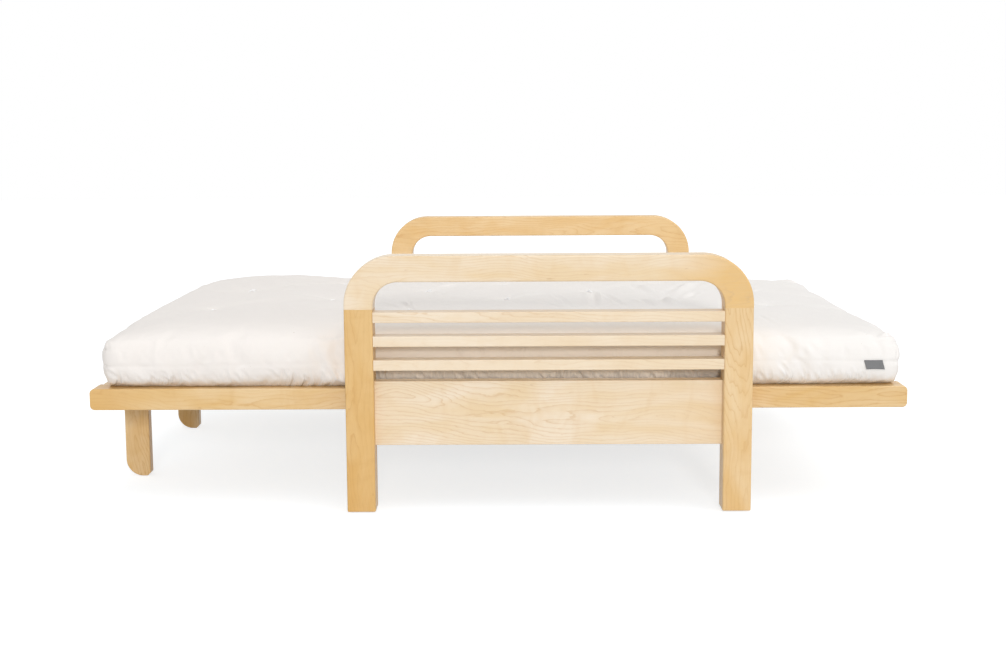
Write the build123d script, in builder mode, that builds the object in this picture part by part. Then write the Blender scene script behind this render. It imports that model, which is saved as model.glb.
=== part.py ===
# Wooden sofa bed with a three-part slatted deck, laid out as a bed.
# Origin: floor level, middle of the deck. +X is the front of the sofa, +Y the far side, +Z up.
import math
import os

from build123d import *

os.makedirs("parts", exist_ok=True)

# Overall sizes
deck_length = 2052.0
deck_top = 301.0
overall_width = 1531.0
deck_side_gap = 12.0
arm_depth = 1000.0
arm_height = 640.0
seat_overhang = 399.0
back_angle = 75.0

# Arm frames
arm_thickness = 69.0
post_width = 70.5
top_rail_height = 64.0
arm_joint_drop = 131.0
arch_outer_radius = 120.0
arch_inner_radius = 62.0
arm_edge_round = 4.0
post_foot_round = 3.0
arm_slat_height_share = 0.1494
arm_slat_depth = 50.0
arm_slat_lowest_gap_share = 0.1724
arm_slat_top_gap = 7.0
arm_slat_count = 3
arm_slat_round = 2.0
tenon_length = 14.0
tenon_shoulder = 5.0
tenon_gap = 0.15
panel_bottom_share = 0.261
panel_top_share = 0.5125
panel_thickness = 38.0
panel_recess = 25.0
panel_round = 2.0
floor_glide_height = 3.0
floor_glide_radius = 14.0

# Base
running_gap = 0.3
glide_thickness = 2.0
runner_height = 30.0
runner_inner_gap = 66.5
glide_width = 50.0
stretcher_thickness = 35.0
stretcher_bottom = 161.0
middle_beam_setback = 27.0
middle_beam_end_height = 48.0
middle_beam_side_gap = 8.0
tie_front_margin = 9.0
tie_thickness = 17.0
tie_bottom = 161.0
tie_rear_margin = 2.0
rest_width = 40.0
rest_front_length = 8.0
rest_ramp_length = 115.0
rest_ramp_ease = 2.0
rest_ramp_angle_share = 0.93
rest_clearance = 1.2
board_round = 3.0

# Deck sections
rail_height = 54.0
rail_width = 78.0
rail_end_round = 12.0
rail_edge_round = 3.0
fold_gap = 16.0
slat_width = 75.0
slat_thickness = 20.0
slat_count = 5
slat_end_setback = 15.0
slat_housing = 15.0
slat_round = 2.5
bearer_thickness = 28.0
bearer_end_setback = 8.0

# Short legs of the head section
stub_width = 66.0
stub_thickness = 34.0
stub_spacing = 660.0
stub_foot_radius = 46.0
stub_foot_chamfer = 9.0
stub_edge_round = 3.0
leg_bolt_radius = 4.0
leg_bolt_hole_gap = 0.2
leg_bolt_head_radius = 9.0
leg_bolt_head_height = 4.0
leg_bolt_inset = 18.0

# Hinges
hinge_width = 54.0
hinge_leaf_length = 50.0
hinge_leaf_thickness = 2.5
hinge_leaf_setback = 2.0
knuckle_radius = 6.0
knuckle_gap = 0.3
hinge_pin_radius = 3.0
hinge_pin_gap = 0.05
head_pivot_rise = 2.0

# Hold-down keepers under the seat rails
keeper_length = 40.0
keeper_thickness = 4.0
keeper_flange = 19.0
keeper_hook = 24.5
keeper_side_gap = 0.5
keeper_first = 30.0
keeper_spacing = 128.0
keeper_bend = 1.5

# Mattress
mattress_rear_margin = 41.0
mattress_front_margin = 22.0
mattress_side_overhang = 1.5
mattress_thickness = 156.0
mattress_foot_inset = 36.0
mattress_shoulder_inset = 58.0
mattress_crown_rise = 7.0
mattress_border_low_share = 0.3
mattress_border_high_share = 0.74
mattress_seat_gap = 0.3
crease_gap = 0.3
tuft_ball_radius = 130.0
tuft_depth = 15.0

# Tufts: place along the length and across the width, from the middle, as shares of the two
tuft_place_shares = (
    (-0.381, 0.095), (-0.114, 0.124), (0.129, 0.09), (0.375, 0.109),
    (-0.25, -0.045), (0.006, -0.034), (0.234, -0.047),
    (-0.402, -0.204), (-0.13, -0.215), (0.125, -0.215), (0.37, -0.146),
    (-0.255, 0.275), (-0.002, 0.27), (0.245, 0.28),
)

# Ends of the mattress, in shares of its thickness: distance from the end, lift of the underside,
# drop of the top and loss of half the width. The rear end is the fuller one.
rear_end_shares = (
    (0.0, 0.22, 0.33, 0.3), (0.04, 0.12, 0.2, 0.19), (0.09, 0.05, 0.13, 0.12),
    (0.22, 0.0, 0.07, 0.045), (0.45, 0.0, 0.02, 0.0),
)
front_end_shares = (
    (0.0, 0.22, 0.42, 0.3), (0.04, 0.12, 0.32, 0.19), (0.09, 0.05, 0.25, 0.12),
    (0.22, 0.0, 0.18, 0.045), (0.45, 0.0, 0.13, 0.0), (1.3, 0.0, 0.09, 0.0),
)

# Between the ends: place as a share of the length, and drop of the top as a share of the thickness
middle_drop_shares = ((0.2, 0.01), (0.4, 0.04), (0.6, 0.045), (0.78, 0.06))

# Places worked out from the sizes above
half_deck = deck_length / 2
half_overall = overall_width / 2
half_width = half_overall - arm_thickness - deck_side_gap
mattress_width = 2 * (half_width + mattress_side_overhang)
section_length = deck_length / 3
seat_fold_x = half_deck - section_length
head_fold_x = seat_fold_x - section_length
deck_bottom = deck_top - rail_height
arm_front_x = half_deck - seat_overhang
arm_rear_x = arm_front_x - arm_depth
arm_middle_x = (arm_front_x + arm_rear_x) / 2
arm_inner_y = half_overall - arm_thickness
arm_joint_height = arm_height - arm_joint_drop
panel_bottom = panel_bottom_share * arm_height
panel_top = panel_top_share * arm_height
panel_height = panel_top - panel_bottom
arm_slat_top = arm_joint_height - arm_slat_top_gap
slat_zone = arm_slat_top - panel_top
arm_slat_height = arm_slat_height_share * slat_zone
arm_slat_lowest = panel_top + arm_slat_lowest_gap_share * slat_zone + arm_slat_height
arm_slat_pitch = (arm_slat_top - arm_slat_lowest) / (arm_slat_count - 1)
panel_inner_y = half_overall - panel_recess - panel_thickness
inner_span = arm_depth - 2 * post_width
bearing_top = deck_bottom - running_gap
runner_top = bearing_top - glide_thickness
runner_bottom = runner_top - runner_height
runner_inner_y = arm_inner_y - runner_inner_gap
slat_bottom = deck_top - slat_thickness
rail_inner_y = half_width - rail_width
stub_y = stub_spacing / 2
bearer_y = stub_y + stub_thickness / 2 + bearer_thickness / 2
seat_pivot_z = deck_top - knuckle_radius
head_pivot_z = deck_bottom + head_pivot_rise
hinge_y = half_width - (rail_width - slat_housing) / 2

SIDES = {"near": -1, "far": 1}


def write(part, name):
    part.label = name
    export_step(part, f"parts/{name}.step")


def front_plane(y):
    """Upright plane that faces the near side, at the given depth."""
    return Plane(origin=(0, y, 0), x_dir=(1, 0, 0), z_dir=(0, -1, 0))


def end_plane(x):
    """Upright plane that faces +X, with its own x along Y and its own y along Z."""
    return Plane(origin=(x, 0, 0), x_dir=(0, 1, 0), z_dir=(1, 0, 0))


def band(side, inner, outer):
    """Lower and upper Y of a piece that lies between two distances from the middle plane."""
    return (side * inner, side * outer) if side > 0 else (side * outer, side * inner)


def tenon_block(y_band, z_band, grow):
    """Block of an arm slat or panel with its tenons, without the shoulders around them."""
    length = inner_span + 2 * (tenon_length + grow)
    height = z_band[1] - z_band[0] - 2 * (tenon_shoulder - grow)
    with BuildPart() as block:
        with BuildSketch(front_plane(y_band[1] - tenon_shoulder + grow)):
            with Locations((arm_middle_x, (z_band[0] + z_band[1]) / 2)):
                Rectangle(length, height)
        extrude(amount=y_band[1] - y_band[0] - 2 * (tenon_shoulder - grow))
    return block.part


# Arm frames
slat_bands = []
for index in range(arm_slat_count):
    upper = arm_slat_top - index * arm_slat_pitch
    slat_bands.append((upper - arm_slat_height, upper))
panel_band = (panel_bottom, panel_top)

for side_name, side in SIDES.items():
    y_low, y_high = band(side, arm_inner_y, half_overall)

    # Arch: level top rail that turns down at both ends in one piece.
    with BuildPart() as arm_arch:
        with BuildSketch(front_plane(y_high)) as arch_outline:
            with Locations((arm_middle_x, (arm_height + arm_joint_height) / 2)):
                Rectangle(arm_depth, arm_height - arm_joint_height)
            fillet(arch_outline.vertices().group_by(Axis.Y)[-1], radius=arch_outer_radius)
        extrude(amount=arm_thickness)
        hollow_height = arm_height - top_rail_height - arm_joint_height
        with BuildSketch(front_plane(y_high)) as arch_hollow:
            with Locations((arm_middle_x, arm_joint_height + hollow_height / 2)):
                Rectangle(inner_span, hollow_height)
            fillet(arch_hollow.vertices().group_by(Axis.Y)[-1], radius=arch_inner_radius)
        extrude(amount=arm_thickness, mode=Mode.SUBTRACT)
        rim = arm_arch.faces().filter_by(Axis.Y).edges()
        fillet(rim - rim.group_by(Axis.Z)[0], radius=arm_edge_round)
    write(arm_arch.part, f"{side_name}_arm_arch")

    slat_y = band(side, half_overall - arm_slat_depth, half_overall)
    panel_y = band(side, panel_inner_y, half_overall - panel_recess)
    for leg_name, leg_x in (("rear", arm_rear_x + post_width / 2), ("front", arm_front_x - post_width / 2)):
        with BuildPart() as arm_leg:
            with BuildSketch(Plane.XY.offset(floor_glide_height)):
                with Locations((leg_x, (y_low + y_high) / 2)):
                    Rectangle(post_width, arm_thickness)
            extrude(amount=arm_joint_height - floor_glide_height)
            fillet(arm_leg.edges().filter_by(Axis.Z), radius=arm_edge_round)
            fillet(arm_leg.faces().sort_by(Axis.Z)[0].edges(), radius=post_foot_round)
            for slat_band in slat_bands:
                add(tenon_block(slat_y, slat_band, tenon_gap), mode=Mode.SUBTRACT)
            add(tenon_block(panel_y, panel_band, tenon_gap), mode=Mode.SUBTRACT)
        write(arm_leg.part, f"{side_name}_{leg_name}_leg")

    for index, slat_band in enumerate(slat_bands, start=1):
        with BuildPart() as arm_slat:
            with BuildSketch(end_plane(arm_middle_x)):
                with Locations(((slat_y[0] + slat_y[1]) / 2, (slat_band[0] + slat_band[1]) / 2)):
                    RectangleRounded(arm_slat_depth, arm_slat_height, arm_slat_round)
            extrude(amount=inner_span / 2, both=True)
            add(tenon_block(slat_y, slat_band, 0))
        write(arm_slat.part, f"{side_name}_arm_slat_{index}")

    with BuildPart() as side_panel:
        with BuildSketch(end_plane(arm_middle_x)):
            with Locations(((panel_y[0] + panel_y[1]) / 2, panel_bottom + panel_height / 2)):
                RectangleRounded(panel_thickness, panel_height, panel_round)
        extrude(amount=inner_span / 2, both=True)
        add(tenon_block(panel_y, panel_band, 0))
    write(side_panel.part, f"{side_name}_side_panel")

    # Runner: strip on the inside of the panel, between the legs, that carries the side rails.
    runner_y = band(side, runner_inner_y, panel_inner_y)
    with BuildPart() as runner:
        with BuildSketch(end_plane(arm_middle_x)):
            with Locations(((runner_y[0] + runner_y[1]) / 2, (runner_top + runner_bottom) / 2)):
                RectangleRounded(runner_y[1] - runner_y[0], runner_height, board_round)
        extrude(amount=inner_span / 2, both=True)
    write(runner.part, f"{side_name}_runner")

# Low-friction strips on the runners, under the side rails
with BuildPart() as glide_strips:
    with BuildSketch(Plane.XY.offset(runner_top)):
        with Locations((arm_middle_x, runner_inner_y + glide_width / 2),
                       (arm_middle_x, -runner_inner_y - glide_width / 2)):
            Rectangle(inner_span, glide_width)
    extrude(amount=glide_thickness)
write(glide_strips.part, "glide_strips")

# Front stretcher: upright board between the front legs
with BuildPart() as front_stretcher:
    with BuildSketch(end_plane(arm_front_x - post_width)):
        with Locations((0, (stretcher_bottom + bearing_top) / 2)):
            RectangleRounded(2 * arm_inner_y, bearing_top - stretcher_bottom, board_round)
    extrude(amount=stretcher_thickness)
write(front_stretcher.part, "front_stretcher")

# Middle beam: full height between the keepers' paths, stepped down to pass under runners and keepers
step_y = rail_inner_y - middle_beam_side_gap
beam_end_top = stretcher_bottom + middle_beam_end_height
with BuildPart() as middle_beam:
    with BuildSketch(end_plane(arm_middle_x - middle_beam_setback)) as beam_face:
        with BuildLine():
            Polyline(
                (-panel_inner_y, stretcher_bottom), (panel_inner_y, stretcher_bottom),
                (panel_inner_y, beam_end_top), (step_y, beam_end_top),
                (step_y, bearing_top), (-step_y, bearing_top),
                (-step_y, beam_end_top), (-panel_inner_y, beam_end_top), close=True,
            )
        make_face()
    extrude(amount=stretcher_thickness)
write(middle_beam.part, "middle_beam")

# Path of the short legs' round toes as the deck folds up: it places the tie board and its ramps.


def folded(x, z, angle):
    """Place of a point of the head section when the back stands at the given angle, in degrees."""
    turn = math.radians(angle)
    arm_x, arm_z = x - head_fold_x, z - head_pivot_z
    fold_x = head_fold_x - seat_fold_x
    fold_z = head_pivot_z - seat_pivot_z
    joint_x = fold_x * math.cos(turn) + fold_z * math.sin(turn)
    joint_z = fold_z * math.cos(turn) - fold_x * math.sin(turn)
    out_x = arm_x * math.cos(turn) - arm_z * math.sin(turn)
    out_z = arm_x * math.sin(turn) + arm_z * math.cos(turn)
    slide = seat_overhang * angle / back_angle
    return seat_fold_x - slide + joint_x + out_x, seat_pivot_z + joint_z + out_z


def toe_centre(angle):
    """Middle of the round toe of the short legs at the given angle of the back."""
    return folded(-half_deck + stub_foot_radius, stub_foot_radius, angle)


toe_end_x, toe_end_z = toe_centre(back_angle)
earlier_x, earlier_z = toe_centre(rest_ramp_angle_share * back_angle)
toe_reach = stub_foot_radius + rest_clearance
ramp_slope = (toe_end_z - earlier_z) / (toe_end_x - earlier_x)
ramp_under_toe_z = toe_end_z - toe_reach * math.sqrt(1 + ramp_slope ** 2)
rest_top_z = toe_end_z - toe_reach
rest_top_x = toe_end_x + (rest_top_z - ramp_under_toe_z) / ramp_slope
rest_front_x = rest_top_x + rest_front_length
rest_rear_x = toe_end_x - rest_ramp_length
ramp_low_z = ramp_under_toe_z - ramp_slope * rest_ramp_length - rest_ramp_ease

# Rear tie board, flat and low, so that the folding head section passes over it
tie_front_x = rest_front_x + tie_front_margin
tie_rear_x = rest_rear_x - tie_rear_margin
tie_top = tie_bottom + tie_thickness
with BuildPart() as rear_tie:
    with BuildSketch(front_plane(arm_inner_y)):
        with Locations(((tie_front_x + tie_rear_x) / 2, (tie_bottom + tie_top) / 2)):
            RectangleRounded(tie_front_x - tie_rear_x, tie_thickness, board_round)
    extrude(amount=2 * arm_inner_y)
write(rear_tie.part, "rear_tie")

# Leg rests: a ramp on the tie board for each short leg, whose toe climbs it at the end of the fold
with BuildPart() as leg_rests:
    for side in SIDES.values():
        with BuildSketch(front_plane(side * stub_y + rest_width / 2)):
            with BuildLine():
                Polyline(
                    (rest_rear_x, tie_top), (rest_front_x, tie_top), (rest_front_x, rest_top_z),
                    (rest_top_x, rest_top_z), (rest_rear_x, ramp_low_z), close=True,
                )
            make_face()
        extrude(amount=rest_width)
write(leg_rests.part, "leg_rests")

# Floor glides under the four arm legs
leg_middle_y = half_overall - arm_thickness / 2
with BuildPart() as floor_glides:
    with BuildSketch(Plane.XY):
        with Locations((arm_middle_x, 0)):
            with GridLocations(arm_depth - post_width, 2 * leg_middle_y, 2, 2):
                Circle(floor_glide_radius)
    extrude(amount=floor_glide_height)
    chamfer(floor_glides.faces().group_by(Axis.Z)[0].edges(), length=floor_glide_height / 3)
write(floor_glides.part, "floor_glides")


def hinge_seat(fold_x, direction, flush_z, upward):
    """Shallow recess for the leaf of one hinge pair, on the rail that runs away from the fold."""
    end = fold_x + direction * (fold_gap / 2 + hinge_leaf_setback + hinge_leaf_length)
    base = flush_z - hinge_leaf_thickness if upward else flush_z
    with BuildPart() as seat:
        with BuildSketch(Plane.XY.offset(base)):
            with Locations(((fold_x + end) / 2, hinge_y), ((fold_x + end) / 2, -hinge_y)):
                Rectangle(abs(end - fold_x), hinge_width)
        extrude(amount=hinge_leaf_thickness)
    return seat.part


def slat_places(x_low, x_high):
    """Middles of the cross slats of a section whose rails run from x_low to x_high."""
    first = x_low + slat_end_setback + slat_width / 2
    last = x_high - slat_end_setback - slat_width / 2
    return [first + (last - first) * index / (slat_count - 1) for index in range(slat_count)]


def deck_section(name, x_low, x_high, round_ends, recesses):
    """Side rails, bearers and slats of one section. round_ends names its free, rounded end."""
    places = slat_places(x_low, x_high)
    for side_name, side in SIDES.items():
        y_low, y_high = band(side, rail_inner_y, half_width)
        with BuildPart() as rail:
            with BuildSketch(front_plane(y_high)) as rail_outline:
                with Locations(((x_low + x_high) / 2, (deck_top + deck_bottom) / 2)):
                    Rectangle(x_high - x_low, rail_height)
                corners = rail_outline.vertices().sort_by(Axis.X)
                free_end = corners[2:] if round_ends > 0 else corners[:2]
                if round_ends:
                    fillet(free_end, radius=rail_end_round)
            extrude(amount=rail_width)
            long_edges = rail.edges().filter_by(Axis.X)
            fillet(long_edges, radius=rail_edge_round)
            for recess in recesses:
                add(recess, mode=Mode.SUBTRACT)
            with BuildSketch(Plane.XY.offset(slat_bottom)):
                with Locations(*[(x, side * (rail_inner_y + slat_housing / 2)) for x in places]):
                    Rectangle(slat_width, slat_housing)
            extrude(amount=slat_thickness, mode=Mode.SUBTRACT)
        write(rail.part, f"{name}_rail_{side_name}")

    with BuildPart() as bearers:
        bearer_low = x_low + bearer_end_setback
        bearer_high = x_high - bearer_end_setback
        with BuildSketch(Plane.XY.offset(deck_bottom)):
            with Locations(((bearer_low + bearer_high) / 2, bearer_y),
                           ((bearer_low + bearer_high) / 2, -bearer_y)):
                Rectangle(bearer_high - bearer_low, bearer_thickness)
        extrude(amount=slat_bottom - deck_bottom)
        if name == "head":
            for bolt_x in leg_bolt_places():
                with BuildSketch(front_plane(half_width)):
                    with Locations((bolt_x, (deck_bottom + slat_bottom) / 2)):
                        Circle(leg_bolt_radius + leg_bolt_hole_gap)
                extrude(amount=2 * half_width, mode=Mode.SUBTRACT)
    write(bearers.part, f"{name}_bearers")

    slat_reach = rail_inner_y + slat_housing
    for index, x in enumerate(places, start=1):
        with BuildPart() as slat:
            with BuildSketch(front_plane(slat_reach)) as slat_section:
                with Locations((x, deck_top - slat_thickness / 2)):
                    Rectangle(slat_width, slat_thickness)
                fillet(slat_section.vertices().group_by(Axis.Y)[-1], radius=slat_round)
            extrude(amount=2 * slat_reach)
        write(slat.part, f"{name}_slat_{index}")


def leg_bolt_places():
    """X of the two bolts that hold each short leg."""
    return (-half_deck + leg_bolt_inset, -half_deck + stub_width - leg_bolt_inset)


seat_front_recess = hinge_seat(seat_fold_x, 1, deck_top, True)
seat_back_recess = hinge_seat(seat_fold_x, -1, deck_top, True)
head_back_recess = hinge_seat(head_fold_x, 1, deck_bottom, False)
head_head_recess = hinge_seat(head_fold_x, -1, deck_bottom, False)
deck_section("seat", seat_fold_x + fold_gap / 2, half_deck, 1, [seat_front_recess])
deck_section("back", head_fold_x + fold_gap / 2, seat_fold_x - fold_gap / 2, 0,
             [seat_back_recess, head_back_recess])
deck_section("head", -half_deck, head_fold_x - fold_gap / 2, -1, [head_head_recess])


# Hinges: leaves let into the rails, three knuckles on one pin
knuckle_length = hinge_width / 3


def hinge_leaf(fold_x, pivot_z, flush_z, upward, direction, outer_knuckles):
    """Both leaves, near and far, of one fold that belong to the rail on one side of it."""
    base = flush_z - hinge_leaf_thickness if upward else flush_z
    plate_start = fold_x + direction * (fold_gap / 2 + hinge_leaf_setback)
    shares = (-1, 1) if outer_knuckles else (0,)
    middles = [y + share * knuckle_length for y in (hinge_y, -hinge_y) for share in shares]
    length = knuckle_length - knuckle_gap
    with BuildPart() as leaf:
        with BuildSketch(Plane.XY.offset(base)):
            plate_middle = plate_start + direction * hinge_leaf_length / 2
            with Locations((plate_middle, hinge_y), (plate_middle, -hinge_y)):
                Rectangle(hinge_leaf_length, hinge_width)
            arm_length = abs(plate_start - fold_x)
            with Locations(*[((plate_start + fold_x) / 2, y) for y in middles]):
                Rectangle(arm_length, length)
        extrude(amount=hinge_leaf_thickness)
        for middle in middles:
            with BuildSketch(front_plane(middle + length / 2)):
                with Locations((fold_x, pivot_z)):
                    Circle(knuckle_radius)
            extrude(amount=length)
        with BuildSketch(front_plane(half_width)):
            with Locations((fold_x, pivot_z)):
                Circle(hinge_pin_radius + hinge_pin_gap)
        extrude(amount=2 * half_width, mode=Mode.SUBTRACT)
    return leaf.part


def hinge_pins(fold_x, pivot_z):
    """Pins of the near and far hinge of one fold."""
    with BuildPart() as pins:
        for y in (hinge_y, -hinge_y):
            with BuildSketch(front_plane(y + hinge_width / 2)):
                with Locations((fold_x, pivot_z)):
                    Circle(hinge_pin_radius)
            extrude(amount=hinge_width)
    return pins.part


write(hinge_leaf(seat_fold_x, seat_pivot_z, deck_top, True, 1, True), "seat_hinge_leaves")
write(hinge_leaf(seat_fold_x, seat_pivot_z, deck_top, True, -1, False), "back_lower_hinge_leaves")
write(hinge_pins(seat_fold_x, seat_pivot_z), "seat_hinge_pins")
write(hinge_leaf(head_fold_x, head_pivot_z, deck_bottom, False, 1, True), "back_upper_hinge_leaves")
write(hinge_leaf(head_fold_x, head_pivot_z, deck_bottom, False, -1, False), "head_hinge_leaves")
write(hinge_pins(head_fold_x, head_pivot_z), "head_hinge_pins")

# Keepers: bent steel brackets under the seat rails that hook under the runners
web_y = runner_inner_y - keeper_side_gap
inner_web_y = web_y - keeper_thickness
flange_y = inner_web_y - keeper_flange
hook_y = inner_web_y + keeper_hook
hook_top = runner_bottom - running_gap
with BuildPart() as keepers:
    for side in SIDES.values():
        for index in range(2):
            keeper_x = seat_fold_x + keeper_first + index * keeper_spacing
            with BuildSketch(end_plane(keeper_x)) as keeper_profile:
                with BuildLine():
                    Polyline(
                        (side * web_y, deck_bottom), (side * flange_y, deck_bottom),
                        (side * flange_y, deck_bottom - keeper_thickness),
                        (side * inner_web_y, deck_bottom - keeper_thickness),
                        (side * inner_web_y, hook_top - keeper_thickness),
                        (side * hook_y, hook_top - keeper_thickness),
                        (side * hook_y, hook_top), (side * web_y, hook_top), close=True,
                    )
                make_face()
                fillet(keeper_profile.vertices(), radius=keeper_bend)
            extrude(amount=keeper_length)
write(keepers.part, "seat_keepers")

# Short legs under the head section: round outer toe, small chamfer at the heel
for side_name, side in SIDES.items():
    y_low, y_high = band(side, stub_y - stub_thickness / 2, stub_y + stub_thickness / 2)
    stub_left = -half_deck
    with BuildPart() as stub_leg:
        with BuildSketch(front_plane(y_high)) as stub_outline:
            with Locations((stub_left + stub_width / 2, slat_bottom / 2)):
                Rectangle(stub_width, slat_bottom)
            foot = stub_outline.vertices().group_by(Axis.Y)[0].sort_by(Axis.X)
            fillet(foot[0], radius=stub_foot_radius)
            chamfer(stub_outline.vertices().group_by(Axis.Y)[0].sort_by(Axis.X)[-1], length=stub_foot_chamfer)
        extrude(amount=stub_thickness)
        fillet(stub_leg.edges().filter_by(Axis.Z), radius=stub_edge_round)
        for bolt_x in leg_bolt_places():
            with BuildSketch(front_plane(y_high)):
                with Locations((bolt_x, (deck_bottom + slat_bottom) / 2)):
                    Circle(leg_bolt_radius + leg_bolt_hole_gap)
            extrude(amount=stub_thickness, mode=Mode.SUBTRACT)
    write(stub_leg.part, f"{side_name}_stub_leg")

bolt_middle_z = (deck_bottom + slat_bottom) / 2
bolt_low_y = stub_y - stub_thickness / 2
bolt_high_y = bearer_y + bearer_thickness / 2
with BuildPart() as leg_bolts:
    for side in SIDES.values():
        shank = band(side, bolt_low_y, bolt_high_y)
        for bolt_x in leg_bolt_places():
            with BuildSketch(front_plane(shank[1])):
                with Locations((bolt_x, bolt_middle_z)):
                    Circle(leg_bolt_radius)
            extrude(amount=shank[1] - shank[0])
            with BuildSketch(front_plane(shank[0])):
                with Locations((bolt_x, bolt_middle_z)):
                    Circle(leg_bolt_head_radius)
            extrude(amount=leg_bolt_head_height)
            with BuildSketch(front_plane(shank[1] + leg_bolt_head_height)):
                with Locations((bolt_x, bolt_middle_z)):
                    RegularPolygon(leg_bolt_head_radius, 6)
            extrude(amount=leg_bolt_head_height)
write(leg_bolts.part, "stub_leg_bolts")

# Mattress: one crowned pad, cut into the three parts that lie on the sections
pad_bottom = deck_top + mattress_seat_gap
pad_rear_x = -half_deck + mattress_rear_margin
pad_front_x = half_deck - mattress_front_margin
pad_middle_x = (pad_rear_x + pad_front_x) / 2
pad_length = pad_front_x - pad_rear_x

# Each station: place along X, lift of the underside, drop of the top, loss of half the width
stations = []
for inset, lift, drop, narrowing in rear_end_shares:
    stations.append((pad_rear_x + inset * mattress_thickness, lift, drop, narrowing))
for share, drop in middle_drop_shares:
    stations.append((pad_rear_x + share * pad_length, 0, drop, 0))
for inset, lift, drop, narrowing in reversed(front_end_shares):
    stations.append((pad_front_x - inset * mattress_thickness, lift, drop, narrowing))


def drop_at(x):
    """Drop of the pad's top at a place along X, as a share of the thickness."""
    for before, after in zip(stations, stations[1:]):
        if before[0] <= x <= after[0]:
            share = (x - before[0]) / (after[0] - before[0])
            return before[2] + share * (after[2] - before[2])
    return 0


def pad_section(x, lift, drop, narrowing):
    """Cross section of the pad: flat underside, upright boxing, full shoulders, slightly crowned top."""
    low = pad_bottom + lift * mattress_thickness
    high = pad_bottom + mattress_thickness * (1 - drop)
    wide = mattress_width / 2 - narrowing * mattress_thickness
    border_low = low + (high - low) * mattress_border_low_share
    border_high = low + (high - low) * mattress_border_high_share
    foot_y = wide - mattress_foot_inset
    shoulder_y = wide - mattress_shoulder_inset
    shoulder_z = high - mattress_crown_rise
    arc_share = 1 - math.sqrt(0.5)
    foot_bend = (wide - arc_share * mattress_foot_inset, low + arc_share * (border_low - low))
    shoulder_bend = (wide - arc_share * mattress_shoulder_inset,
                     shoulder_z - arc_share * (shoulder_z - border_high))
    with BuildSketch(end_plane(x)) as section:
        with BuildLine():
            Line((-foot_y, low), (foot_y, low))
            ThreePointArc((foot_y, low), foot_bend, (wide, border_low))
            Line((wide, border_low), (wide, border_high))
            ThreePointArc((wide, border_high), shoulder_bend, (shoulder_y, shoulder_z))
            ThreePointArc((shoulder_y, shoulder_z), (0, high), (-shoulder_y, shoulder_z))
            ThreePointArc((-shoulder_y, shoulder_z), (-shoulder_bend[0], shoulder_bend[1]), (-wide, border_high))
            Line((-wide, border_high), (-wide, border_low))
            ThreePointArc((-wide, border_low), (-foot_bend[0], foot_bend[1]), (-foot_y, low))
        make_face()
    return section.sketch


with BuildPart() as pad:
    loft(sections=[pad_section(*station) for station in stations], ruled=True)
    for x_share, y_share in tuft_place_shares:
        tuft_x = pad_middle_x + x_share * pad_length
        tuft_y = y_share * mattress_width
        crown_drop = mattress_crown_rise * (2 * y_share) ** 2
        top_z = pad_bottom + mattress_thickness * (1 - drop_at(tuft_x)) - crown_drop
        with Locations((tuft_x, tuft_y, top_z - tuft_depth + tuft_ball_radius)):
            Sphere(tuft_ball_radius, rotation=(90, 0, 0), mode=Mode.SUBTRACT)

half_back_angle = math.radians(back_angle / 2)


def crease_plane(direction, gap):
    """Plane through the seat pivot that leans to one side by half the back's travel."""
    normal = (direction * math.cos(half_back_angle), 0, -math.sin(half_back_angle))
    origin = (seat_fold_x + direction * gap / math.cos(half_back_angle), 0, seat_pivot_z)
    return Plane(origin=origin, z_dir=normal)


with BuildPart() as seat_mattress:
    add(pad.part)
    split(bisect_by=crease_plane(1, crease_gap / 2), keep=Keep.TOP)
write(seat_mattress.part, "seat_mattress")

crease_section = pad_section(seat_fold_x, 0, drop_at(seat_fold_x), 0)
with BuildPart() as mattress_crease:
    extrude(crease_section, amount=mattress_thickness, both=True)
    split(bisect_by=crease_plane(1, -crease_gap / 2), keep=Keep.BOTTOM)
    split(bisect_by=crease_plane(-1, -crease_gap / 2), keep=Keep.BOTTOM)
write(mattress_crease.part, "mattress_crease")

with BuildPart() as back_mattress:
    add(pad.part)
    split(bisect_by=crease_plane(-1, crease_gap / 2), keep=Keep.TOP)
    split(bisect_by=Plane(origin=(head_fold_x + crease_gap, 0, 0), z_dir=(1, 0, 0)), keep=Keep.TOP)
write(back_mattress.part, "back_mattress")

with BuildPart() as head_mattress:
    add(pad.part)
    split(bisect_by=Plane(origin=(head_fold_x - crease_gap, 0, 0), z_dir=(-1, 0, 0)), keep=Keep.TOP)
write(head_mattress.part, "head_mattress")
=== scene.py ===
import math

import bmesh
import bpy
import numpy as np
from mathutils import Matrix, Vector


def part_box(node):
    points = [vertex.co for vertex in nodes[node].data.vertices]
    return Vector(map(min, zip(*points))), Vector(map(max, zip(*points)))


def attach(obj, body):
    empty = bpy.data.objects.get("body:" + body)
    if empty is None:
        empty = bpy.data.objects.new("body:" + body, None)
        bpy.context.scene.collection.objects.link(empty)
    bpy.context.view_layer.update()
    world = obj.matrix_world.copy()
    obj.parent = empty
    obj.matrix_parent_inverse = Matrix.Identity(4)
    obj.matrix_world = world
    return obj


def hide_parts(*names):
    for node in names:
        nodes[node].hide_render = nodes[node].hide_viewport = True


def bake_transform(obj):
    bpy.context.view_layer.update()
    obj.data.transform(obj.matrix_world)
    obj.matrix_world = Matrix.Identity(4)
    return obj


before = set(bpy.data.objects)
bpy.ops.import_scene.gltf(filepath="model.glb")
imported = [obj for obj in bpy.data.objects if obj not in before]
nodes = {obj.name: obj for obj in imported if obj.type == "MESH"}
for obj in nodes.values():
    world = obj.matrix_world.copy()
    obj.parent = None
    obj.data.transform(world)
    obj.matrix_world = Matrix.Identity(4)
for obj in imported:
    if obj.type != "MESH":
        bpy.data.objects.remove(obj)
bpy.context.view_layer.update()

scene = bpy.context.scene


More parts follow.
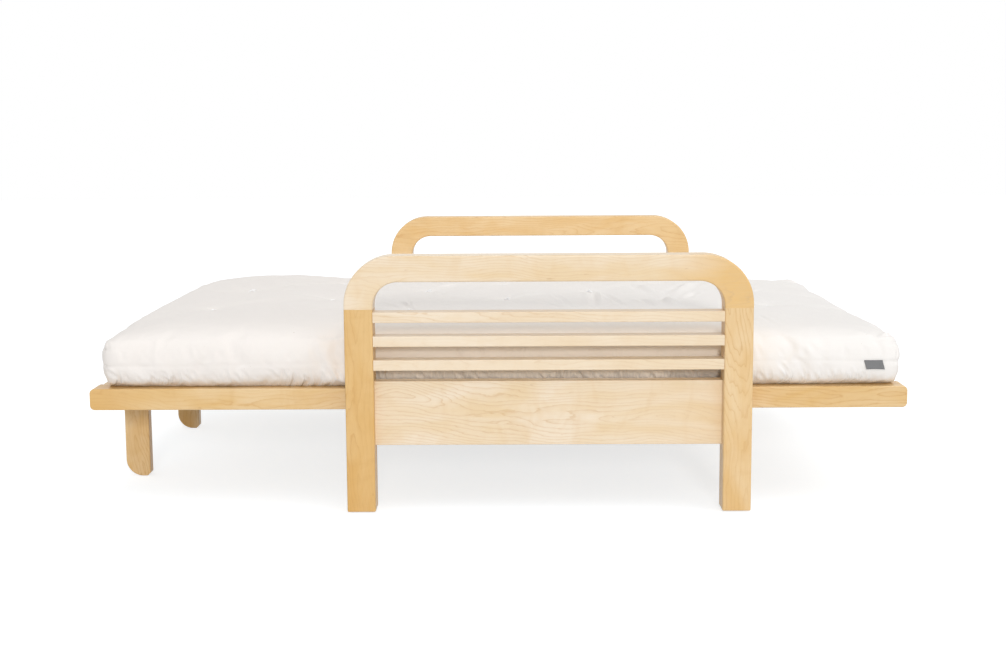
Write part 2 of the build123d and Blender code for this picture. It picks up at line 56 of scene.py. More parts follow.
def new_object(name, data):
    thing = bpy.data.objects.new(name, data)
    scene.collection.objects.link(thing)
    return thing


def new_mesh(name, points, faces):
    mesh = bpy.data.meshes.new(name)
    mesh.from_pydata([tuple(p) for p in points], [], faces)
    mesh.update()
    return new_object(name, mesh)


# Camera at the photograph's place, in metres and degrees
CAMERA_PLACE = (0.0545, -4.534, 0.976)
CAMERA_YAW = math.radians(-0.5887)
CAMERA_PITCH = math.radians(8.047)
CAMERA_ROLL = math.radians(-0.336)
CAMERA_LENS = 55.80
SENSOR_WIDTH = 36.0


def make_camera():
    data = bpy.data.cameras.new("camera")
    data.lens = CAMERA_LENS
    data.sensor_width = SENSOR_WIDTH
    data.clip_start, data.clip_end = 0.1, 60
    camera = new_object("camera", data)
    forward = Vector((math.sin(CAMERA_YAW) * math.cos(CAMERA_PITCH),
                      math.cos(CAMERA_YAW) * math.cos(CAMERA_PITCH), -math.sin(CAMERA_PITCH)))
    right = Vector((math.cos(CAMERA_YAW), -math.sin(CAMERA_YAW), 0))
    up = right.cross(forward)
    turned_right = right * math.cos(CAMERA_ROLL) + up * math.sin(CAMERA_ROLL)
    turned_up = up * math.cos(CAMERA_ROLL) - right * math.sin(CAMERA_ROLL)
    axes = Matrix((turned_right, turned_up, -forward)).transposed()
    camera.matrix_world = Matrix.Translation(CAMERA_PLACE) @ axes.to_4x4()
    scene.camera = camera


# Studio: white to the camera, plain soft light on the object
WHITE = (1, 1, 1, 1)
WORLD_LEVEL = 0.58
# name, direction that the light comes from, level, and spread in degrees: large soft boxes
SUNS = (
    ("key", (0.08, -0.962, 0.262), 1.06, 9),
    ("fill", (0.36, -0.16, 0.92), 0.88, 60),
)
FLOOR_COLOUR = (0.54, 0.555, 0.57, 1)
FLOOR_GLOW_COLOUR = (0.955, 0.98, 1.0, 1)
FLOOR_GLOW = 0.72
FLOOR_BOUNCE = (0.80, 0.80, 0.80, 1)
FLOOR_HALF = 14.0
LAMP_DISTANCE = 4


def seen_ray(tree):
    """1 for a ray from the camera, off a gloss or through glass, otherwise 0."""
    path = tree.nodes.new("ShaderNodeLightPath")
    total = path.outputs["Is Camera Ray"]
    for name in ("Is Glossy Ray", "Is Transmission Ray"):
        add = tree.nodes.new("ShaderNodeMath")
        add.operation = "MAXIMUM"
        tree.links.new(total, add.inputs[0])
        tree.links.new(path.outputs[name], add.inputs[1])
        total = add.outputs[0]
    return total


def coloured(tree, kind, colour, strength=None):
    node = tree.nodes.new(kind)
    node.inputs["Color"].default_value = colour
    if strength is not None:
        node.inputs["Strength"].default_value = strength
    return node


def choose_by_ray(tree, lighting, seen, out):
    """One shader for the light that falls on the object, another where the surface itself is seen."""
    choose = tree.nodes.new("ShaderNodeMixShader")
    tree.links.new(seen_ray(tree), choose.inputs[0])
    tree.links.new(lighting.outputs[0], choose.inputs[1])
    tree.links.new(seen.outputs[0], choose.inputs[2])
    tree.links.new(choose.outputs[0], out.inputs["Surface"])


def make_studio():
    scene.world = bpy.data.worlds.new("studio")
    scene.world.use_nodes = True
    tree = scene.world.node_tree
    tree.nodes.clear()
    choose_by_ray(tree, coloured(tree, "ShaderNodeBackground", WHITE, WORLD_LEVEL),
                  coloured(tree, "ShaderNodeBackground", WHITE, 1.0), tree.nodes.new("ShaderNodeOutputWorld"))

    for name, toward, level, spread in SUNS:
        data = bpy.data.lights.new(name, "SUN")
        data.energy = level
        data.angle = math.radians(spread)
        lamp = new_object(name, data)
        lamp.location = Vector(toward) * LAMP_DISTANCE
        lamp.rotation_mode = "QUATERNION"
        lamp.rotation_quaternion = Vector(toward).to_track_quat("Z", "Y")

    corners = [(x * FLOOR_HALF, y * FLOOR_HALF, 0) for x, y in ((-1, -1), (1, -1), (1, 1), (-1, 1))]
    floor = new_mesh("floor", corners, [(0, 1, 2, 3)])
    material = bpy.data.materials.new("floor")
    material.use_nodes = True
    tree = material.node_tree
    tree.nodes.clear()
    matte = coloured(tree, "ShaderNodeBsdfDiffuse", FLOOR_COLOUR)
    glow = coloured(tree, "ShaderNodeEmission", FLOOR_GLOW_COLOUR, FLOOR_GLOW)
    both = tree.nodes.new("ShaderNodeAddShader")
    tree.links.new(matte.outputs[0], both.inputs[0])
    tree.links.new(glow.outputs[0], both.inputs[1])
    bounce = coloured(tree, "ShaderNodeBsdfDiffuse", FLOOR_BOUNCE)
    choose_by_ray(tree, bounce, both, tree.nodes.new("ShaderNodeOutputMaterial"))
    floor.data.materials.append(material)


class Tree:
    """Short names for building a material's nodes."""

    def __init__(self, name):
        self.material = bpy.data.materials.new(name)
        self.material.use_nodes = True
        self.tree = self.material.node_tree
        self.tree.nodes.clear()
        self.out = self.add("ShaderNodeOutputMaterial")
        self.place = self.add("ShaderNodeTexCoord").outputs["Object"]

    def add(self, kind, **settings):
        node = self.tree.nodes.new(kind)
        for key, value in settings.items():
            setattr(node, key, value)
        return node

    def link(self, source, target):
        self.tree.links.new(source, target)

    def put(self, value, target):
        if isinstance(value, bpy.types.NodeSocket):
            self.link(value, target)
        else:
            target.default_value = value

    def maths(self, operation, a, b=0.0, c=0.0):
        node = self.add("ShaderNodeMath", operation=operation)
        for value, target in zip((a, b, c), node.inputs):
            self.put(value, target)
        return node.outputs[0]

    def product(self, *values):
        total = values[0]
        for value in values[1:]:
            total = self.maths("MULTIPLY", total, value)
        return total

    def vector(self, operation, a, b):
        node = self.add("ShaderNodeVectorMath", operation=operation)
        self.put(a, node.inputs[0])
        self.put(b, node.inputs[1])
        return node.outputs[0]

    def noise(self, place, scale, detail=2.0, rough=0.5, twist=0.0):
        node = self.add("ShaderNodeTexNoise")
        self.link(place, node.inputs["Vector"])
        node.inputs["Scale"].default_value = scale
        node.inputs["Detail"].default_value = detail
        node.inputs["Roughness"].default_value = rough
        node.inputs["Distortion"].default_value = twist
        return node.outputs["Fac"]

    def streaks(self, place, stretch, detail, rough, twist=0.0):
        """Noise with its own scale along each axis."""
        return self.noise(self.vector("MULTIPLY", place, stretch), 1.0, detail, rough, twist)

    def stray(self, value, noise, size):
        """A value with noise added, which goes both ways from it."""
        return self.maths("ADD", value, self.product(self.maths("SUBTRACT", noise, 0.5), size))

    def split(self, vector):
        node = self.add("ShaderNodeSeparateXYZ")
        self.link(vector, node.inputs[0])
        return node.outputs

    def join(self, *values):
        node = self.add("ShaderNodeCombineXYZ")
        for value, target in zip(values, node.inputs):
            self.link(value, target)
        return node.outputs[0]

    def ramp(self, value, stops):
        node = self.add("ShaderNodeValToRGB")
        self.link(value, node.inputs[0])
        ramp = node.color_ramp
        while len(ramp.elements) < len(stops):
            ramp.elements.new(0.5)
        for element, (place, colour) in zip(ramp.elements, stops):
            element.position = place
            element.color = colour if len(colour) == 4 else (*colour, 1)
        return node.outputs[0]

    def mix(self, share, a, b):
        node = self.add("ShaderNodeMix", data_type="RGBA")
        self.put(share, node.inputs["Factor"])
        self.put(a, node.inputs["A"])
        self.put(b, node.inputs["B"])
        return node.outputs["Result"]

    def span(self, value, low, high, to_low=0.0, to_high=1.0):
        node = self.add("ShaderNodeMapRange")
        self.link(value, node.inputs["Value"])
        for key, number in (("From Min", low), ("From Max", high), ("To Min", to_low), ("To Max", to_high)):
            node.inputs[key].default_value = number
        return node.outputs[0]

    def bump(self, height, distance, strength=1.0, normal=None):
        node = self.add("ShaderNodeBump")
        self.link(height, node.inputs["Height"])
        node.inputs["Distance"].default_value = distance
        node.inputs["Strength"].default_value = strength
        if normal is not None:
            self.link(normal, node.inputs["Normal"])
        return node.outputs[0]

    def finish(self, colour, rough, normal, levels):
        """The surface: its colour, roughness and normal, and the level of other sockets."""
        shader = self.add("ShaderNodeBsdfPrincipled")
        self.link(colour, shader.inputs["Base Color"])
        self.put(rough, shader.inputs["Roughness"])
        self.link(normal, shader.inputs["Normal"])
        for name, level in levels.items():
            shader.inputs[name].default_value = level
        self.link(shader.outputs[0], self.out.inputs["Surface"])
        return self.material


def grey(level):
    return (level, level, level, 1)


def times(colour, factors):
    """A colour times one factor, or times one for each channel."""
    if isinstance(factors, float):
        factors = (factors,) * 3
    return tuple(c * k for c, k in zip(colour, factors)) + (1,)


# Growth rings: how many, how far their pith wanders and leans, their ripple, and their share in the colour
RINGS_PER_METRE = 125.0
RING_SWAY, RING_LEAN, RING_RIPPLE = 0.18, 0.26, 0.030
RING_SHARE = 0.58
FIRST_SEED = 100
# Axes along the grain, across the face that shows, and into the piece
GRAIN_TURN = {"X": (0, 2, 1), "Y": (1, 0, 2), "Z": (2, 0, 1)}


def wood(name, grain, seed, centre, tones, figure, patch, tint):
    """Maple: growth rings cut as long cathedrals, fine fibres and pores, slow golden patches and flecks.
    grain is the axis that the fibres follow, centre the middle of the piece, and tint a second tone that
    comes in along the X axis: where it starts, where it is full, its colour and its share."""
    light, dark, heart = tones
    t = Tree(name)
    moved = t.split(t.vector("SUBTRACT", t.place, tuple(centre)))
    along, across, over = (moved[axis] for axis in GRAIN_TURN[grain])
    rng = np.random.default_rng(seed)
    start = tuple(float(v) for v in rng.uniform(-9, 9, 3))
    local = t.vector("ADD", t.join(along, across, over), start)

    # growth rings about a pith line that wanders and leans, so that the faces cut them as long arcs
    sway = t.streaks(local, (1.6, 2.0, 2.0), 2.0, 0.5)
    lean = t.streaks(local, (1.1, 1.0, 1.0), 2.0, 0.5)
    ripple = t.streaks(local, (5.5, 24.0, 24.0), 4.0, 0.55)
    side = t.stray(across, sway, RING_SWAY * figure)
    depth = t.stray(t.maths("ADD", over, float(rng.uniform(0.028, 0.045))), lean, RING_LEAN * figure)
    reach = t.maths("SQRT", t.maths("ADD", t.product(side, side), t.product(depth, depth)))
    reach = t.stray(reach, ripple, RING_RIPPLE)
    rings = t.maths("FRACT", t.product(reach, RINGS_PER_METRE))
    late = t.ramp(rings, [(0.0, grey(0.10)), (0.45, grey(0.0)), (0.80, grey(0.30)), (0.93, grey(1.0)),
                          (1.0, grey(0.15))])
    strong = t.span(t.streaks(local, (1.3, 9.0, 9.0), 2.0, 0.5), 0.36, 0.64)
    late = t.product(late, t.maths("MULTIPLY_ADD", strong, 0.8, 0.2))

    # fibres and pores
    fibre = t.streaks(local, (8.0, 420.0, 420.0), 4.0, 0.65)
    fine = t.streaks(local, (26.0, 1150.0, 1150.0), 2.0, 0.6)
    pores = t.span(t.streaks(local, (75.0, 1500.0, 1500.0), 1.0, 0.5), 0.66, 0.76)
    specks = t.span(t.streaks(local, (24.0, 85.0, 85.0), 1.0, 0.4), 0.765, 0.80)

    # cross figure, seen as soft bars, and slow patches
    bars = t.streaks(local, (17.0, 9.0, 9.0), 3.0, 0.6, 0.8)
    patches = t.streaks(local, (3.4, 11.0, 11.0), 3.0, 0.55, 0.7)

    colour = t.mix(t.span(patches, 0.38, 0.66), light, dark)
    if tint:
        low, high, tone, share = tint
        wobble = t.maths("MULTIPLY_ADD", patches, 0.10, t.split(t.place)[0])
        colour = t.mix(t.span(wobble, low + 0.05, high + 0.05, 0.0, share), colour, tone)
    colour = t.mix(t.product(t.span(bars, 0.50, 0.74), patch), colour, heart)
    colour = t.mix(t.product(late, RING_SHARE), colour, times(dark, (0.80, 0.66, 0.50)))
    colour = t.mix(t.span(fibre, 0.35, 0.72, 0.0, 0.20), colour, dark)
    colour = t.mix(t.span(fine, 0.40, 0.70, 0.0, 0.10), colour, times(dark, 0.82))
    colour = t.mix(t.product(pores, 0.22), colour, times(dark, 0.6))
    colour = t.mix(t.product(specks, 0.38), colour, times(dark, (0.62, 0.45, 0.30)))

    height = t.maths("MULTIPLY_ADD", fibre, 0.6, t.product(pores, -0.8))
    return t.finish(colour, t.span(fibre, 0.3, 0.7, 0.34, 0.44), t.bump(height, 0.00012, 0.6),
                    {"Specular IOR Level": 0.35, "Coat Weight": 0.12, "Coat Roughness": 0.22})


def steel(name):
    t = Tree(name)
    brushed = t.streaks(t.place, (90.0, 900.0, 900.0), 3.0, 0.6)
    cloud = t.noise(t.place, 60.0, 3.0, 0.5)
    colour = t.ramp(cloud, [(0.3, (0.56, 0.56, 0.57)), (0.7, (0.68, 0.68, 0.67))])
    rough = t.span(brushed, 0.3, 0.7, 0.26, 0.42)
    return t.finish(colour, rough, t.bump(brushed, 0.00005, 0.5), {"Metallic": 1.0})


def plastic(name, colour, rough=0.5):
    t = Tree(name)
    grain = t.noise(t.place, 900.0, 2.0, 0.5)
    dirt = t.noise(t.place, 35.0, 3.0, 0.6)
    return t.finish(t.mix(t.span(dirt, 0.45, 0.8, 0.0, 0.25), colour, times(colour, 0.8)),
                    t.span(grain, 0.3, 0.7, rough - 0.05, rough + 0.08), t.bump(grain, 0.00004, 0.6), {})


THREAD_PITCH = 0.0011
ARMS_MIDDLE_X = 0.127
# painted warm shade and wood bounce on the pad's sides between the arms
ARM_WARM_SHADE_TONE = (0.86, 0.75, 0.62, 1)
SEED_TONE = (0.42, 0.33, 0.25, 1)
# painted shade in the deep gathers at the foot
GATHER_SHADE_TONE = (0.74, 0.58, 0.44, 1)


def cotton(name, light, shade):
    """Unbleached woven cotton: plain weave, slubs and a few seed flecks."""
    t = Tree(name)
    x, y, z = t.split(t.place)
    wide = t.noise(t.place, 5.0, 3.0, 0.55)
    slub_x = t.streaks(t.place, (14.0, 700.0, 700.0), 2.0, 0.6)
    slub_y = t.streaks(t.place, (700.0, 14.0, 700.0), 2.0, 0.6)
    thread = 2 * math.pi / THREAD_PITCH
    warp = t.maths("SINE", t.product(x, thread))
    weft = t.maths("SINE", t.product(t.maths("ADD", y, z), thread))
    weave = t.product(warp, weft)
    fleck = t.span(t.streaks(t.place, (210.0, 230.0, 220.0), 1.0, 0.4), 0.80, 0.84)
    nap = t.noise(t.place, 380.0, 3.0, 0.6)
    # darker toward the low-X end, in slow patches
    toward_low_x = t.span(t.maths("MULTIPLY_ADD", wide, 0.7, x), 0.95, -0.25)
    colour = t.mix(toward_low_x, light, shade)
    colour = t.mix(t.span(slub_x, 0.55, 0.80, 0.0, 0.10), colour, times(shade, 0.86))
    colour = t.mix(t.span(slub_y, 0.55, 0.80, 0.0, 0.10), colour, times(shade, 0.88))
    colour = t.mix(t.product(fleck, 0.55), colour, SEED_TONE)
    # painted warm shade and wood bounce: the sides behind the arm slats a little warmer between the arms
    inside = t.span(t.maths("ABSOLUTE", t.maths("SUBTRACT", x, ARMS_MIDDLE_X)), 0.50, 0.42)
    beside = t.span(t.maths("ABSOLUTE", y), 0.58, 0.68)
    colour = t.mix(t.product(inside, beside, 0.62), colour, ARM_WARM_SHADE_TONE)
    # gathers at the foot, which lean as they go down, with painted brown shade where they are deep
    across = t.maths("MULTIPLY_ADD", y, 0.9, x)
    turned = t.join(t.maths("MULTIPLY_ADD", z, 0.5, across), t.product(z, 0.07))
    pleat = t.noise(turned, 62.0, 1.5, 0.5)
    foot = t.maths("POWER", t.span(z, 0.362, 0.312), 1.4)
    patchy = t.span(t.noise(t.place, 9.0, 2.0, 0.5), 0.40, 0.56)
    gather = t.product(t.span(pleat, 0.44, 0.68), foot, patchy)
    # painted shade where the gathers are deepest
    deep_gather_shade = t.product(t.span(pleat, 0.60, 0.72), t.product(foot, patchy))
    colour = t.mix(t.product(deep_gather_shade, 0.35), colour, GATHER_SHADE_TONE)
    slubs = t.maths("ADD", t.product(slub_x, 0.5), t.product(slub_y, 0.5))
    height = t.maths("ADD", t.product(weave, 0.20), slubs)
    pleated = t.bump(t.maths("SUBTRACT", 1.0, gather), 0.0045, 0.9)
    normal = t.bump(t.maths("MULTIPLY_ADD", nap, 0.4, height), 0.00018, 0.7, pleated)
    return t.finish(colour, 0.92, normal,
                    {"Specular IOR Level": 0.15, "Sheen Weight": 0.12, "Sheen Roughness": 0.5})


# Colours, linear: light, dark and heart tone of each kind of board
PALE = ((0.890, 0.765, 0.605, 1), (0.825, 0.645, 0.410, 1), (0.740, 0.500, 0.255, 1))
SLAT = ((0.900, 0.790, 0.640, 1), (0.850, 0.700, 0.510, 1), (0.790, 0.590, 0.370, 1))
GOLD = ((0.775, 0.520, 0.230, 1), (0.705, 0.420, 0.135, 1), (0.610, 0.330, 0.095, 1))
MID = ((0.845, 0.640, 0.380, 1), (0.765, 0.505, 0.220, 1), (0.665, 0.400, 0.155, 1))
STUB = (MID[0], GOLD[1], GOLD[2])
RAIL = ((0.810, 0.600, 0.340, 1), (0.735, 0.475, 0.185, 1), MID[2])
AMBER = (0.785, 0.495, 0.175, 1)
COTTON_LIGHT = (0.920, 0.893, 0.866, 1)
COTTON_SHADE = (0.880, 0.838, 0.802, 1)


def give(node, material):
    """Puts one material on a CAD node, without a change to its mesh."""
    slots = nodes[node].material_slots
    if not slots:
        nodes[node].data.materials.append(material)
    for slot in slots:
        slot.material = material


def wood_of(name):
    """Grain axis, tones, figure, patchiness and tint of each wooden node."""
    if name == "near_arm_arch":
        return "X", PALE, 1.5, 0.24, (0.40, 0.56, AMBER, 0.95)
    if name == "far_arm_arch":
        return "X", MID, 1.0, 0.24, (0.40, 0.58, GOLD[0], 0.9)
    if "arm_slat" in name:
        return "X", SLAT, 0.7, 0.30, (-0.1, 0.5, PALE[1], 0.50)
    if name == "near_side_panel":
        return "X", PALE, 1.25, 0.30, (0.30, 0.60, AMBER, 0.35)
    if "side_panel" in name:
        return "X", PALE, 1.1, 0.30, None
    if name == "near_front_leg":
        return "Z", MID, 1.0, 0.22, None
    if name.endswith("stub_leg"):
        return "Z", STUB, 0.8, 0.25, None
    if name.endswith("_leg"):
        return "Z", GOLD, 1.1, 0.25, None
    if "_rail_" in name:
        return "X", RAIL, 1.0, 0.30, (-0.85, -0.98, GOLD[1], 0.7)
    if "_slat_" in name or name in ("front_stretcher", "middle_beam", "rear_tie"):
        return "Y", MID, 0.9, 0.30, None
    return "X", MID, 0.9, 0.30, None


def dress_nodes():
    metal = steel("zinc_steel")
    glide = plastic("glide_plastic", (0.80, 0.78, 0.74, 1))
    for index, name in enumerate(sorted(nodes)):
        if "mattress" in name:
            continue
        if "hinge" in name or "keepers" in name or "bolts" in name:
            give(name, metal)
        elif "glide" in name:
            give(name, glide)
        else:
            grain, *looks = wood_of(name)
            low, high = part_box(name)
            centre = [(a + b) / 2 for a, b in zip(low, high)]
            give(name, wood(f"wood_{name}", grain, FIRST_SEED + index, centre, *looks))


scene.view_settings.view_transform = "Standard"
make_camera()
make_studio()
dress_nodes()


# Mattress: a futon pad, sewn with two seams round its side and tied through by tufts
DECK_TOP = 0.3012
PAD_LOW_X, PAD_HIGH_X = -0.998, 1.014
PAD_HALF_Y = 0.690
LOWER_SEAM = 0.361
PAD_MIDDLE_X = (PAD_LOW_X + PAD_HIGH_X) / 2
PAD_HALF_X = (PAD_HIGH_X - PAD_LOW_X) / 2
CORNER_RADIUS = 0.050
CELLS_X, CELLS_Y = 256, 152
EDGE_STEPS = (0.0, 0.004, 0.009, 0.016, 0.025)
UNDER_SHARE = 4
TUFTS = (
    (-0.748, 0.130), (-0.218, 0.170), (0.266, 0.123), (0.021, -0.047),
    (0.755, 0.150), (-0.488, -0.062), (0.475, -0.065), (-0.790, -0.280),
    (-0.249, -0.295), (0.258, -0.295), (0.745, -0.200), (-0.498, 0.377),
    (0.005, 0.370), (0.497, 0.384),
)
PROUD_TUFTS = TUFTS[:4]
# Side above the lower seam: inset, and share of the height from the lower seam to the shoulder
SIDE_ROWS = ((0.0140, 1.0), (0.0072, 0.87), (0.0028, 0.71), (0.0004, 0.55), (-0.0008, 0.38), (-0.0008, 0.20),
             (0.0, 0.08), (0.0006, 0.0))
UPPER_SEAM_ROW = 2
# Underside: inset, and share of the height from the deck to the lower seam
UNDER_ROWS = ((0.0002, 0.92), (-0.0002, 0.82), (0.0004, 0.68), (0.0026, 0.52), (0.0066, 0.37), (0.0125, 0.25),
              (0.0200, 0.165), (0.0300, 0.105), (0.0420, 0.050))
BOTTOM_INSET = 0.055
# Above this height a point of the cover belongs to its top
TOP_ABOVE = 0.41


def smooth(low, high, value):
    share = np.clip((value - low) / (high - low), 0, 1)
    return share * share * (3 - 2 * share)


def spread_shares(cells, half):
    """Places from -1 to 1, closer together next to both ends."""
    steps = np.array(EDGE_STEPS) / half
    middle = np.linspace(-1 + steps[-1], 1 - steps[-1], cells - 2 * (len(steps) - 1) + 1)
    return np.concatenate([-1 + steps[:-1], middle, 1 - steps[:-1][::-1]])


def plan(shares, half, inset):
    """Grid of points over a rectangle with rounded corners; the ends are inset less than the sides."""
    inset_x = min(inset, 0.006 + 0.10 * inset)
    x, y = np.meshgrid(shares[0] * (half[0] - inset_x), shares[1] * (half[1] - inset), indexing="ij")
    round_x, round_y = CORNER_RADIUS - inset_x, max(CORNER_RADIUS - inset, 0.004)
    core_x, core_y = half[0] - CORNER_RADIUS, half[1] - CORNER_RADIUS
    s = np.clip((np.abs(x) - core_x) / round_x, 0, 1)
    t = np.clip((np.abs(y) - core_y) / round_y, 0, 1)
    corner = (s > 0) & (t > 0)
    round_x = np.sign(x) * (core_x + round_x * s * np.sqrt(1 - t * t / 2))
    round_y = np.sign(y) * (core_y + round_y * t * np.sqrt(1 - s * s / 2))
    return np.where(corner, round_x, x), np.where(corner, round_y, y)


def edge_distance(x, y, half):
    """Distance inwards from the rounded outline."""
    dx = np.abs(x) - (half[0] - CORNER_RADIUS)
    dy = np.abs(y) - (half[1] - CORNER_RADIUS)
    outside = np.hypot(np.maximum(dx, 0), np.maximum(dy, 0))
    return CORNER_RADIUS - outside - np.minimum(np.maximum(dx, dy), 0)


def corner_gap(x, y):
    return np.hypot(np.minimum(x - PAD_LOW_X, PAD_HIGH_X - x), PAD_HALF_Y - np.abs(y))


def draw_in(x, y):
    """The ends and sides pull in between the corners."""
    across = 1 - (y / PAD_HALF_Y) ** 2
    along = 1 - ((x - PAD_MIDDLE_X) / PAD_HALF_X) ** 2
    at_low = smooth(-0.75, -1.0, x)
    at_high = smooth(0.75, 1.0, x)
    x = x + at_low * (-0.003 * across + 0.0015 * np.sin(19 * y + 0.6)) - at_high * (0.010 * across
                                                                             + 0.002 * np.sin(17 * y))
    y = y * (1 - 0.004 * along * smooth(0.3, 0.69, np.abs(y)))
    return x, y


def squeeze(x, z):
    """How far the sides press out between the arms: most near the foot, where they meet the arm slats."""
    out = np.interp(z, (DECK_TOP, 0.310, 0.3188, 0.325, 0.334, 0.345, 0.380, 0.410, 0.445),
                    (0.0, 0.0120, 0.0135, 0.0090, 0.0055, 0.0030, 0.0024, -0.0040, -0.0040))
    return out * smooth(0.455, 0.400, np.abs(x))


def press_out(x, y, z):
    return y + np.sign(y) * squeeze(x, z) * smooth(0.52, 0.66, np.abs(y))


def seam_heights(x, y):
    """Height of the shoulder, where the top begins, and of the lower seam round the pad."""
    end = (x - PAD_LOW_X) / (PAD_HIGH_X - PAD_LOW_X)
    at_end = smooth(0.06, 0.0, PAD_HALF_X - np.abs(x - PAD_MIDDLE_X))
    upper = np.interp(end, (0, 0.05, 0.4, 0.75, 0.95, 1.0), (0.424, 0.4255, 0.4255, 0.4250, 0.4270, 0.4290))
    upper = upper + 0.0015 * np.sin(11 * x + 5 * y) * (1 - at_end)
    upper = upper - 0.008 * np.exp(-(corner_gap(x, y) / 0.050) ** 2) * smooth(0.6, 0.1, end)
    middle = np.clip((y + PAD_HALF_Y) / 0.8, 0, 1)
    upper = upper - (0.007 + 0.014 * middle) * at_end * smooth(0.4, 0.9, end)
    lower = np.interp(end, (0, 0.3, 0.8, 1.0), (0.3585, 0.361, 0.366, 0.364))
    return upper, lower + 0.0015 * np.sin(14 * x - 3 * y + 1)


def crown_height(x, y):
    """Height of the filling's top far from the edges."""
    end = (x - PAD_LOW_X) / (PAD_HIGH_X - PAD_LOW_X)
    along = np.interp(end, (0, 0.03, 0.08, 0.17, 0.25, 0.45, 0.7, 0.86, 0.95, 1.0),
                      (0.450, 0.454, 0.460, 0.4625, 0.4590, 0.455, 0.456, 0.454, 0.449, 0.440))
    low_corner = smooth(0.6, 0.1, end)
    far_right = smooth(0.5, 0.9, end) * smooth(0.0, 0.4, y)
    sag = (0.014 * low_corner * np.exp(-(corner_gap(x, y) / 0.17) ** 2)
           + 0.012 * far_right * np.exp(-(corner_gap(x, y) / 0.30) ** 2)
           + 0.014 * far_right * np.exp(-(corner_gap(x, y) / 0.19) ** 2)
           + 0.013 * smooth(0.86, 1.0, end) * np.clip((y + PAD_HALF_Y) / 0.8, 0, 1))
    far = np.interp(x, (-1.0, -0.82, -0.68, -0.52, -0.38, -0.2), (0.0, 0.004, 0.004, -0.004, -0.008, -0.004))
    lift = 0.0016 * np.sin(7.1 * x + 0.5) * np.sin(8.3 * y + 0.9) + far * smooth(0.25, 0.60, y)
    return along - sag + lift


def tuft_drop(x, y):
    drop = np.zeros_like(x)
    for tuft_x, tuft_y in TUFTS:
        r2 = (x - tuft_x) ** 2 + (y - tuft_y) ** 2
        drop += 0.0036 * np.exp(-r2 / 0.080 ** 2) + 0.0050 * np.exp(-r2 / 0.022 ** 2)
    return drop


def ring_of(grid):
    return np.concatenate([grid[:-1, 0], grid[-1, :-1], grid[:0:-1, -1], grid[0, :0:-1]])


def grid_faces(index):
    return np.stack([index[:-1, :-1], index[1:, :-1], index[1:, 1:], index[:-1, 1:]], -1).reshape(-1, 4)


def ring_faces(outer, inner):
    return np.stack([outer, inner, np.roll(inner, -1), np.roll(outer, -1)], -1)


def pad_points():
    """Vertices, faces, and for each vertex its distance along the cloth below the upper and lower seam."""
    half = (PAD_HALF_X, PAD_HALF_Y)
    shares = (spread_shares(CELLS_X, half[0]), spread_shares(CELLS_Y, half[1]))
    top_x, top_y = plan(shares, half, SIDE_ROWS[0][0])
    distance = edge_distance(top_x, top_y, half) - SIDE_ROWS[0][0]
    world_x = top_x + PAD_MIDDLE_X
    upper, lower = seam_heights(world_x, top_y)
    end_share = smooth(0.12, 0.02, PAD_HALF_X - np.abs(top_x)) * smooth(0.60, 0.45, np.abs(top_y))
    quick_rise = 1 - np.exp(-distance / (0.042 - 0.026 * end_share))
    rise = 0.80 * quick_rise + 0.20 * (1 - np.exp(-distance / 0.110))
    top_z = upper + (crown_height(world_x, top_y) - upper) * rise - tuft_drop(world_x, top_y)
    world_x, top_y = draw_in(world_x, top_y)
    top_y = press_out(world_x, top_y, top_z)
    points = [np.stack([world_x, top_y, top_z], -1).reshape(-1, 3)]

    index = np.arange(top_x.size).reshape(top_x.shape)
    faces = [grid_faces(index).tolist()]
    previous = ring_of(index)
    count = len(previous)
    base = index.size
    last = points[0][previous]
    along = np.zeros(count)
    rows = [(row, "side") for row in SIDE_ROWS[1:]] + [(row, "under") for row in UNDER_ROWS]
    row_lengths = []
    for (inset, share), kind in rows:
        x, y = plan(shares, half, inset)
        x, y = ring_of(x) + PAD_MIDDLE_X, ring_of(y)
        upper, lower = seam_heights(x, y)
        z = lower + (upper - lower) * share if kind == "side" else DECK_TOP + (lower - DECK_TOP) * share
        x, y = draw_in(x, y)
        y = press_out(x, y, z)
        here = np.stack([x, y, z], -1)
        along = along + np.linalg.norm(here - last, axis=1)
        points.append(here)
        row_lengths.append(along)
        current = base + np.arange(count)
        base += count
        faces.append(ring_faces(previous, current).tolist())
        previous, last = current, here

    # underside: a ring of points, then a grid with cells as large as several of the top's
    x, y = plan(shares, half, BOTTOM_INSET)
    x, y = draw_in(ring_of(x) + PAD_MIDDLE_X, ring_of(y))
    points.append(np.stack([x, y, np.full_like(x, DECK_TOP)], -1))
    current = base + np.arange(count)
    base += count
    faces.append(ring_faces(previous, current).tolist())
    coarse = (shares[0][::UNDER_SHARE], shares[1][::UNDER_SHARE])
    x, y = plan(coarse, half, BOTTOM_INSET + 0.012)
    x, y = draw_in(x + PAD_MIDDLE_X, y)
    bottom = base + np.arange(x.size).reshape(x.shape)
    points.append(np.stack([x, y, np.full_like(x, DECK_TOP)], -1).reshape(-1, 3))
    faces.append(grid_faces(bottom)[:, ::-1].tolist())
    inner = ring_of(bottom)
    for step in range(len(inner)):
        outer = [int(current[(step * UNDER_SHARE + k) % count]) for k in range(UNDER_SHARE + 1)]
        faces.append([outer[::-1] + [int(inner[step]), int(inner[(step + 1) % len(inner)])]])
    above, hidden = np.full(distance.size, -1.0), np.full(count + x.size, 1.0)
    gaps = [np.concatenate([above] + [length - row_lengths[seam] for length in row_lengths] + [hidden])
            for seam in (UPPER_SEAM_ROW - 1, len(SIDE_ROWS) - 2)]
    return np.concatenate(points), [face for group in faces for face in group], *gaps


def smooth_shaded(thing, material):
    for polygon in thing.data.polygons:
        polygon.use_smooth = True
    thing.data.materials.append(material)


